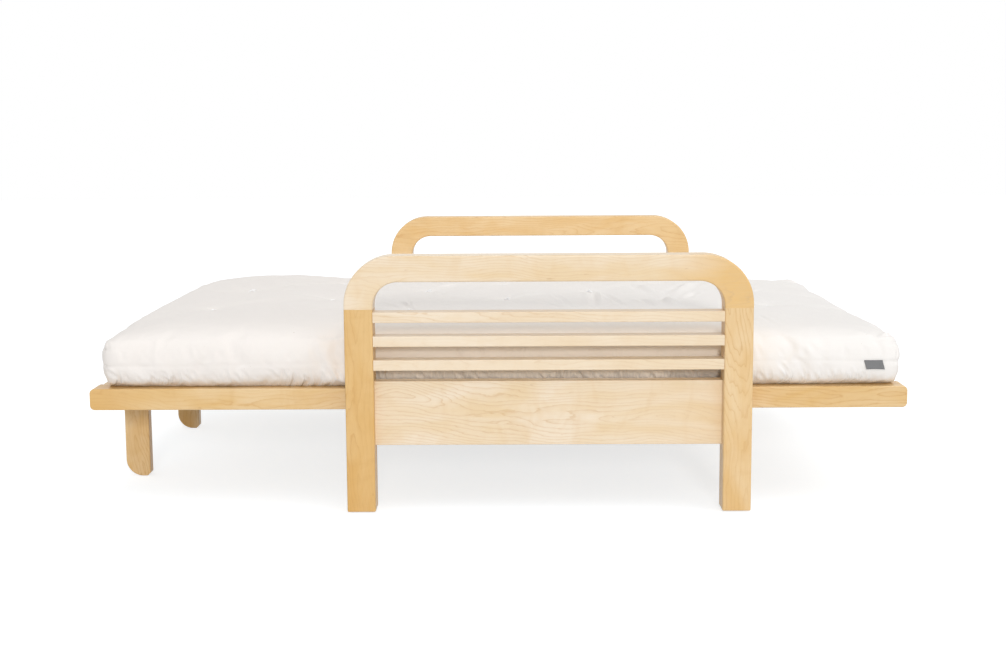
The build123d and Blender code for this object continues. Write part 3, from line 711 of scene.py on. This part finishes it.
def read(elements, what, kind, width=1):
    """One value, or a row of them, for each element of a mesh."""
    values = np.zeros(len(elements) * width, kind)
    elements.foreach_get(what, values)
    return values if width == 1 else values.reshape(-1, width)


def positions(thing):
    return read(thing.data.vertices, "co", float, 3)


def point_normals(thing):
    return read(thing.data.vertex_normals, "vector", float, 3)


def set_positions(thing, co):
    thing.data.vertices.foreach_set("co", np.ascontiguousarray(co, np.float32).ravel())
    thing.data.update()


def apply_modifiers(thing):
    graph = bpy.context.evaluated_depsgraph_get()
    mesh = bpy.data.meshes.new_from_object(thing.evaluated_get(graph))
    thing.modifiers.clear()
    thing.data = mesh


def blurred(thing, values, rounds):
    """Values averaged over the mesh's edges, again and again."""
    a, b = read(thing.data.edges, "vertices", int, 2).T
    count = len(values)
    weight = np.bincount(a, minlength=count) + np.bincount(b, minlength=count)
    for _ in range(rounds):
        total = np.zeros_like(values)
        for axis in range(values.shape[1]):
            total[:, axis] = np.bincount(a, values[b, axis], count) + np.bincount(b, values[a, axis], count)
        values = 0.5 * values + 0.5 * total / weight[:, None]
    return values


# Cloth: how much too large the cover is, its pressure and frames; then the farthest move of a point, the
# share of the swelling that is kept, and the rounds of blurring that part it from the wrinkles
SLACK, PRESSURE, FRAMES = 0.045, 3.0, 22
FARTHEST, SWELLING, ROUNDS = 0.012, 0.10, 60


def settle(thing, hold, calm):
    """Cloth simulation of the cover over its filling. Of its movement, the wrinkles stay, and a share of the
    slow swelling; calm is each point's share of both."""
    start = positions(thing)
    cloth = thing.modifiers.new("cloth", "CLOTH")
    settings = cloth.settings
    settings.quality = 5
    settings.mass = 0.25
    settings.tension_stiffness = 20
    settings.compression_stiffness = 12
    settings.shear_stiffness = 8
    settings.bending_stiffness = 0.25
    settings.tension_damping = settings.compression_damping = settings.shear_damping = 8
    settings.use_pressure = True
    settings.uniform_pressure_force = PRESSURE
    settings.shrink_min = -SLACK
    settings.effector_weights.gravity = 0
    settings.vertex_group_mass = hold
    settings.pin_stiffness = 1.0
    cloth.collision_settings.use_collision = False
    cloth.collision_settings.use_self_collision = False
    cloth.point_cache.frame_start = 1
    cloth.point_cache.frame_end = FRAMES
    for frame_number in range(1, FRAMES + 1):
        scene.frame_set(frame_number)
    graph = bpy.context.evaluated_depsgraph_get()
    move = positions(thing.evaluated_get(graph)) - start
    thing.modifiers.clear()
    scene.frame_set(1)
    slow = blurred(thing, move, ROUNDS)
    move = ((move - slow) + SWELLING * slow) * calm[:, None]
    size = np.linalg.norm(move, axis=1, keepdims=True)
    move *= np.minimum(1, FARTHEST / np.maximum(size, 1e-9))
    set_positions(thing, start + move)


class Folds:
    """Creases pressed into a mesh along its normals, each on the way from one place to another."""

    def __init__(self, thing):
        self.thing = thing
        self.co = positions(thing)
        self.normal = point_normals(thing)
        self.amount = np.zeros(len(self.co))

    def crease(self, a, b, width, depth, ridge=0.45, start=0.25):
        """From a to b; with ends given in plan only, it lies in the top, whatever the height there."""
        a, b = np.array(a, float), np.array(b, float)
        co, reach = self.co[:, :len(a)], 3.4 * width
        inside = ((co > np.minimum(a, b) - reach) & (co < np.maximum(a, b) + reach)).all(1)
        if len(a) == 2:
            inside &= self.co[:, 2] > TOP_ABOVE
        near = np.nonzero(inside)[0]
        along = b - a
        rel = co[near] - a
        t = rel @ along / (along @ along)
        q = np.linalg.norm(rel - t[:, None] * along, axis=1) / width
        window = smooth(0, start, t) * smooth(1, start, t)
        self.amount[near] -= depth * window * (np.exp(-q * q) - ridge * np.exp(-((q - 1.75) / 0.8) ** 2))

    def press(self):
        set_positions(self.thing, self.co + self.normal * self.amount[:, None])


def near_side(x, z):
    return (x, -PAD_HALF_Y - float(squeeze(x, z)), z)


# Creases in the top that show in the near arm's opening: ends in plan, width, depth (below 0 for a ridge)
TOP_CREASES = (
    ((0.272, 0.12), (0.266, -0.32), 0.013, 0.005), ((0.3, 0.02), (0.36, -0.34), 0.01, 0.0034),
    ((0.42, 0.3), (0.48, -0.08), 0.018, -0.005), ((0.61, 0.38), (0.484, -0.07), 0.018, -0.005),
    ((0.478, -0.03), (0.486, -0.33), 0.017, -0.0056), ((0.395, -0.06), (0.43, -0.36), 0.011, 0.0036),
    ((0.01, -0.115), (0.15, -0.18), 0.009, 0.0024), ((0.11, -0.15), (0.212, -0.36), 0.009, 0.003),
    ((0.15, 0.02), (0.215, -0.33), 0.009, 0.002), ((0.59, 0.1), (0.505, -0.16), 0.012, 0.0034),
    ((-0.215, -0.33), (-0.338, -0.06), 0.006, 0.0028), ((-0.232, -0.325), (-0.305, -0.09), 0.0055, 0.0024),
    ((-0.236, -0.31), (-0.278, -0.02), 0.0055, 0.0022), ((-0.262, -0.3), (-0.365, -0.15), 0.006, 0.0024),
    ((-0.205, 0.15), (-0.16, -0.02), 0.01, 0.0022), ((-0.19, 0.23), (-0.09, 0.4), 0.01, 0.0022),
)


def tuft_folds(folds, rng):
    for tuft_x, tuft_y in TUFTS:
        turn = rng.uniform(0, 1)
        for spoke in range(9):
            angle = 2 * math.pi * (spoke + turn + rng.uniform(-0.3, 0.3)) / 9
            way = np.array([math.cos(angle), math.sin(angle)])
            inner, length = rng.uniform(0.004, 0.010), rng.uniform(0.030, 0.13)
            a = (tuft_x + way[0] * inner, tuft_y + way[1] * inner)
            b = (tuft_x + way[0] * length, tuft_y + way[1] * length)
            folds.crease(a, b, rng.uniform(0.0048, 0.0068), rng.uniform(0.0006, 0.0015), start=0.2)
    for a, b, width, depth in TOP_CREASES:
        folds.crease(a, b, 0.85 * width, 1.5 * depth, ridge=0.4, start=0.3)


def drag_folds(folds, rng):
    """Long soft ridges between tufts, and from the outer tufts to the seams."""
    for _ in range(80):
        tuft_x, tuft_y = TUFTS[rng.integers(len(TUFTS))]
        angle = rng.uniform(0, 2 * math.pi)
        reach = rng.uniform(0.05, 0.16)
        x, y = tuft_x + reach * math.cos(angle), tuft_y + reach * math.sin(angle)
        swing = angle + rng.uniform(-0.5, 0.5)
        length = rng.uniform(0.07, 0.22)
        end_x, end_y = x + length * math.cos(swing), y + length * math.sin(swing)
        if abs(end_y) > 0.64 or not -0.94 < end_x < 0.95:
            continue
        folds.crease((x, y), (end_x, end_y), rng.uniform(0.0052, 0.0080), rng.uniform(0.0003, 0.0009))
    for x in np.arange(0.20, 0.74, 0.034):
        x += rng.uniform(-0.02, 0.02)
        folds.crease((x, -0.46), (x + rng.uniform(0.02, 0.07), -0.655),
                     rng.uniform(0.0055, 0.0085), rng.uniform(0.0009, 0.0024))
    for x in np.arange(-0.93, 0.18, 0.062):
        x += rng.uniform(-0.03, 0.03)
        folds.crease((x, -0.52, 0.452), (x + rng.uniform(0.01, 0.05), -0.665, 0.440),
                     rng.uniform(0.0050, 0.0090), rng.uniform(0.0005, 0.0014))


SIDE_CREASES = (
    ((-0.771, 0.439), (-0.736, 0.362), 0.007, 0.0042), ((-0.812, 0.428), (-0.786, 0.366), 0.0065, 0.002),
    ((-0.655, 0.43), (-0.627, 0.366), 0.007, 0.0022), ((-0.842, 0.348), (-0.805, 0.309), 0.0055, 0.0058),
    ((-0.862, 0.352), (-0.85, 0.309), 0.0055, 0.003),
    ((-0.736, 0.348), (-0.72, 0.309), 0.0055, 0.005), ((-0.642, 0.352), (-0.632, 0.309), 0.0055, 0.0048),
    ((-0.581, 0.352), (-0.52, 0.308), 0.006, 0.0064), ((-0.53, 0.35), (-0.484, 0.308), 0.006, 0.006),
    ((-0.443, 0.35), (-0.414, 0.307), 0.0055, 0.0056), ((-0.395, 0.362), (-0.352, 0.307), 0.006, 0.005),
    ((0.644, 0.425), (0.66, 0.364), 0.007, 0.004),
    ((0.699, 0.402), (0.72, 0.372), 0.0065, 0.0036), ((0.755, 0.447), (0.802, 0.374), 0.0075, 0.0048),
    ((0.7, 0.366), (0.752, 0.306), 0.0065, 0.0085), ((0.858, 0.425), (0.872, 0.372), 0.008, 0.0018),
    ((0.925, 0.42), (0.94, 0.38), 0.008, 0.0016), ((0.62, 0.44), (0.64, 0.38), 0.0065, 0.003),
)
CORNER_CREASES = (
    ((-0.999, -0.66, 0.402), (-0.925, -0.694, 0.392), 0.0042, 0.0042),
    ((-0.994, -0.664, 0.358), (-0.945, -0.692, 0.355), 0.0042, 0.0036),
    ((-0.992, -0.668, 0.432), (-0.968, -0.686, 0.392), 0.006, 0.0045),
    ((-0.985, -0.68, 0.346), (-0.94, -0.694, 0.326), 0.0055, 0.004),
    ((1.006, -0.655, 0.426), (0.94, -0.684, 0.436), 0.005, 0.0075),
    ((1.000, -0.668, 0.432), (0.985, -0.688, 0.412), 0.005, 0.005),
    ((1.002, -0.676, 0.412), (0.998, -0.682, 0.336), 0.0042, 0.006),
    ((1.002, 0.64, 0.41), (0.94, 0.69, 0.42), 0.0065, 0.005),
    ((-0.992, 0.64, 0.405), (-0.93, 0.69, 0.4), 0.0065, 0.005),
)


def foot_inset(z):
    return np.interp(z, (0.310, 0.316, 0.325, 0.340), (0.021, 0.0125, 0.0066, 0.0))


def side_folds(folds, rng):
    """The creases that the near side has, and gathers below the lower seam all the way round."""
    for a, b, width, depth in SIDE_CREASES:
        folds.crease(near_side(*a), near_side(*b), 0.75 * width, 0.6 * depth, ridge=0.35)
    for a, b, width, depth in CORNER_CREASES:
        folds.crease(a, b, width, depth)

    def gather(place, slant, low, high, width, depth):
        a, b = place(0.0, high), place(slant, low)
        folds.crease(a, b, width, depth, ridge=0.6, start=0.35)

    # for one side or end: a place s along it gives the path of a gather, from its shift and height
    def on_side(sign):
        return lambda s: lambda shift, z: (s + shift, sign * (PAD_HALF_Y + squeeze(s, z) - foot_inset(z)), z)

    def on_end(x, lean):
        return lambda s: lambda shift, z: (x + lean * (LOWER_SEAM - z), s + shift, z)

    sides = (
        (on_side(-1), -0.93, 0.95, 0.024),
        (on_side(1), -0.93, 0.95, 0.036),
        (on_end(PAD_LOW_X, 0.3), -0.64, 0.64, 0.034),
        (on_end(PAD_HIGH_X - 0.008, -0.3), -0.64, 0.64, 0.034),
    )
    for number, (place, low, high, step) in enumerate(sides):
        for s in np.arange(low, high, step):
            s = float(s + rng.uniform(-0.4, 0.4) * step)
            strong = number == 0 and (-0.30 < s < -0.06 or 0.10 < s < 0.50)
            depth = rng.uniform(0.0045, 0.0085) if strong else rng.uniform(0.0010, 0.0040)
            gather(place(s), rng.uniform(-0.004, 0.030), 0.312, rng.uniform(0.334, 0.356),
                   rng.uniform(0.0040, 0.0056), depth)
        for s in np.arange(low, high, step * 2.4):
            s = float(s + rng.uniform(-0.8, 0.8) * step)
            gather(place(s), rng.uniform(-0.02, 0.03), 0.366, rng.uniform(0.385, 0.415),
                   rng.uniform(0.006, 0.010), rng.uniform(0.0006, 0.0020))


def seam_grooves(co, upper_gap, lower_gap):
    """How far the two seams sink in: the upper one only shows next to the corners."""
    at_corner = np.exp(-(corner_gap(co[:, 0], co[:, 1]) / 0.075) ** 2)
    amount = np.zeros(len(co))
    for gap, depth in ((upper_gap, 0.0016 * at_corner), (lower_gap, 0.0003 + 0.0008 * at_corner)):
        lip = 0.4 * depth * np.exp(-((np.abs(gap) - 0.010) / 0.005) ** 2)
        amount -= depth * np.exp(-(gap / 0.0030) ** 2) - lip
    return amount


def soft_noise(co, scale, seed):
    """Smooth irregular values from -1 to 1: waves in many directions, of lengths near 1 / scale."""
    rng = np.random.default_rng(seed)
    total = np.zeros(len(co))
    for _ in range(14):
        way = rng.normal(size=3)
        way *= scale * rng.uniform(0.5, 1.5) * 2 * math.pi / (2.2 * np.linalg.norm(way))
        total += np.sin(co @ way + rng.uniform(0, 2 * math.pi))
    return total / 5.0


def make_cover():
    points, faces, upper_gap, lower_gap = pad_points()
    pad = new_mesh("mattress_cover", points, faces)
    for name, values in (("upper_gap", upper_gap), ("lower_gap", lower_gap)):
        attribute = pad.data.attributes.new(name, "FLOAT", "POINT")
        attribute.data.foreach_set("value", values.astype(np.float32))
    front = np.array([np.mean(points[face, 0]) for face in faces]) > PAD_MIDDLE_X
    pad.data.polygons.foreach_set("material_index", front.astype(np.int32))
    weight = np.full(len(points), 0.02)
    weight[upper_gap >= 1.0] = 1.0
    for tuft_x, tuft_y in TUFTS:
        weight[np.hypot(points[:, 0] - tuft_x, points[:, 1] - tuft_y) < 0.012] = 1.0
    group = pad.vertex_groups.new(name="hold")
    for value in np.unique(weight):
        group.add(np.nonzero(weight == value)[0].tolist(), float(value), "REPLACE")
    calm = 0.6 - 0.42 * smooth(0.425, 0.445, points[:, 2])
    settle(pad, group.name, calm)
    pad.vertex_groups.clear()
    finer = pad.modifiers.new("finer", "SUBSURF")
    finer.levels = finer.render_levels = 1
    apply_modifiers(pad)

    co, normal = positions(pad), point_normals(pad)
    upper_gap, lower_gap = (read(pad.data.attributes[name].data, "value", np.float32)
                            for name in ("upper_gap", "lower_gap"))
    free = smooth(0.0, 0.012, co[:, 2] - DECK_TOP)
    waves = 0.0010 * soft_noise(co, 7.0, 1) + 0.0005 * soft_noise(co * (1, 1.6, 1), 30.0, 2)
    sunk = seam_grooves(co, upper_gap, lower_gap) + waves
    set_positions(pad, co + normal * (sunk * free)[:, None])
    rng = np.random.default_rng(11)
    folds = Folds(pad)
    tuft_folds(folds, rng)
    drag_folds(folds, rng)
    side_folds(folds, rng)
    folds.amount *= free
    folds.press()
    co = positions(pad)
    co[:, 2] = np.maximum(co[:, 2], DECK_TOP)
    set_positions(pad, co)
    return pad


def tube(line, radius):
    """Points and faces of a thread along a line, round in section."""
    sides = 8
    line = np.array(line, float)
    way = np.gradient(line, axis=0)
    way /= np.linalg.norm(way, axis=1, keepdims=True)
    side = np.cross(way, (0.13, 0.21, 0.97))
    side /= np.linalg.norm(side, axis=1, keepdims=True)
    up = np.cross(side, way)
    radii = np.full(len(line), radius) if np.isscalar(radius) else np.array(radius)
    turn = np.arange(sides) * 2 * math.pi / sides
    circle = side[:, None] * np.cos(turn)[None, :, None] + up[:, None] * np.sin(turn)[None, :, None]
    points = (line[:, None] + radii[:, None, None] * circle).reshape(-1, 3)
    faces = []
    for k in range(len(line) - 1):
        for s in range(sides):
            a, b = k * sides + s, k * sides + (s + 1) % sides
            faces.append([a, b, b + sides, a + sides])
    faces.append(list(range(sides))[::-1])
    faces.append([(len(line) - 1) * sides + s for s in range(sides)])
    return points, faces


def surface_height(pad_co, x, y):
    """Height of the cover's top at a place: that of the nearest points."""
    near = np.hypot(pad_co[:, 0] - x, pad_co[:, 1] - y) < 0.010
    return float(pad_co[near, 2].max()) if near.any() else 0.44


# Threads: radius of a strand and of the knot, half a strand's length, and the strands' pitch and spread
STRAND_RADIUS, KNOT_RADIUS = 0.00165, 0.00180
STRAND_REACH, STRAND_PITCH, STRAND_TURN = 0.0105, 0.0015, 0.16
END_POINTS = 9


def tuft_knots(pad_co, places, rng):
    """Each tuft: strands of white thread across the dimple, tied in a small knot with two cut ends."""
    points, faces = [], []

    def add(line, radius):
        new_points, new_faces = tube(line, radius)
        base = sum(len(group) for group in points)
        points.append(new_points)
        faces.extend([[v + base for v in face] for face in new_faces])

    for x, y in places:
        z = surface_height(pad_co, x, y) + (0.0012 if (x, y) in PROUD_TUFTS else -0.0050)
        turn = rng.uniform(-0.25, 0.25)
        for strand in range(5):
            angle = turn + (strand - 2) * STRAND_TURN + rng.uniform(-0.05, 0.05)
            way = np.array([math.cos(angle), math.sin(angle), 0])
            side = np.array([-way[1], way[0], 0]) * (strand - 2) * STRAND_PITCH
            t = np.linspace(-1, 1, 13)
            line = [(x, y, z) + way * STRAND_REACH * v + side * (1 - 0.4 * v * v)
                    + np.array([0, 0, 0.0062 * (1 - v * v) - 0.0030]) for v in t]
            add(line, STRAND_RADIUS)
        t = np.linspace(0, 2 * math.pi, 17)
        across = np.array([-math.sin(turn), math.cos(turn), 0])
        way = np.array([math.cos(turn), math.sin(turn), 0])
        line = [(x, y, z + 0.0036) + across * 0.0042 * math.cos(v) + np.array([0, 0, 0.0026 * math.sin(v)])
                + way * 0.0010 * math.cos(v / 2) for v in t]
        add(line, KNOT_RADIUS)
        for sign in (-1, 1):
            angle = turn + sign * rng.uniform(0.5, 1.1)
            t = np.linspace(0, 1, END_POINTS)
            length = rng.uniform(0.010, 0.016)
            line = [(x, y, z + 0.0040) + np.array([math.cos(angle), sign * math.sin(angle), 0]) * length * v
                    + np.array([0, 0, 0.0030 * math.sin(3.0 * v) - 0.0010 * v]) for v in t]
            add(line, np.linspace(0.0009, 0.0007, END_POINTS))
    return np.concatenate(points), faces


def cut_part(pad, name, front, material, thread, knots):
    """The front or rear part of the cover, closed where it is cut, with the whole cover's shading."""
    normals = point_normals(pad)
    mesh = pad.data.copy()
    mesh.name = name
    origin = mesh.attributes.new("origin", "INT", "POINT")
    origin.data.foreach_set("value", np.arange(len(mesh.vertices), dtype=np.int32))
    bm = bmesh.new()
    bm.from_mesh(mesh)
    other = [face for face in bm.faces if face.material_index != int(front)]
    bmesh.ops.delete(bm, geom=other, context="FACES")
    rim = [edge for edge in bm.edges if edge.is_boundary]
    made = bmesh.ops.contextual_create(bm, geom=rim)["faces"]
    made = set(bmesh.ops.triangulate(bm, faces=made)["faces"])
    bm.verts.index_update()
    bm.faces.index_update()
    caps = sorted(face.index for face in made)
    for face in bm.faces:
        face.smooth = True
        face.material_index = 0
    bm.to_mesh(mesh)
    bm.free()
    order = read(mesh.attributes["origin"].data, "value", np.int32)
    piece = new_object(name, mesh)
    wanted = normals[order][read(mesh.loops, "vertex_index", np.int32)]
    for cap in caps:
        polygon = mesh.polygons[cap]
        wanted[list(polygon.loop_indices)] = polygon.normal
    mesh.attributes.remove(mesh.attributes["origin"])
    mesh.normals_split_custom_set([tuple(n) for n in wanted])
    mesh.materials.clear()
    mesh.materials.append(material)
    strands = new_mesh(name + "_knots", *knots)
    smooth_shaded(strands, thread)
    with bpy.context.temp_override(active_object=piece, object=piece, selected_objects=[piece, strands],
                                   selected_editable_objects=[piece, strands]):
        bpy.ops.object.join()
    return piece


def make_label(material):
    """Plain folded tape, sewn into the lower seam near the front corner."""
    low_x, high_x, top, drop = 0.9135, 0.9590, 0.3680, 0.0225
    columns, rows, thick = 18, 9, 0.0007
    points = []
    for side in (0, 1):
        for i in range(columns + 1):
            for j in range(rows + 1):
                u, v = i / columns, j / rows
                x = low_x + (high_x - low_x) * u + 0.0060 * v + 0.0012 * v * math.sin(3 * u)
                wave = 0.0005 * math.sin(5.5 * u + 0.6)
                y = -PAD_HALF_Y - 0.0018 - 0.0026 * v * v - wave * v - side * thick
                z = top - drop * v + 0.0006 * math.sin(4 * u) * v
                points.append((x, y, z))
    index = np.arange(2 * (columns + 1) * (rows + 1)).reshape(2, columns + 1, rows + 1)
    inner, outer = grid_faces(index[0])[:, ::-1], grid_faces(index[1])
    rim = ring_faces(ring_of(index[0]), ring_of(index[1]))
    label = new_mesh("plain_label", points, np.concatenate([inner, outer, rim]).tolist())
    bm = bmesh.new()
    bm.from_mesh(label.data)
    bmesh.ops.recalc_face_normals(bm, faces=bm.faces)
    bm.to_mesh(label.data)
    bm.free()
    smooth_shaded(label, material)
    return label


cover = make_cover()
cover_co = positions(cover)
cloth_material = cotton("mattress_cotton", COTTON_LIGHT, COTTON_SHADE)
thread_material = plastic("tuft_thread", (0.93, 0.93, 0.93, 1), 0.75)
knot_rng = np.random.default_rng(5)
parts = {}
for name, front in (("mattress_rear", False), ("mattress_front", True)):
    places = [place for place in TUFTS if (place[0] > PAD_MIDDLE_X) == front]
    knots = tuft_knots(cover_co, places, knot_rng)
    parts[name] = cut_part(cover, name, front, cloth_material, thread_material, knots)
bpy.data.objects.remove(cover)

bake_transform(parts["mattress_rear"])
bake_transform(parts["mattress_front"])
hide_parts("head_mattress", "back_mattress")
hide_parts("seat_mattress", "mattress_crease")

label = make_label(plastic("label_tape", (0.20, 0.20, 0.205, 1), 0.8))
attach(label, "seat")
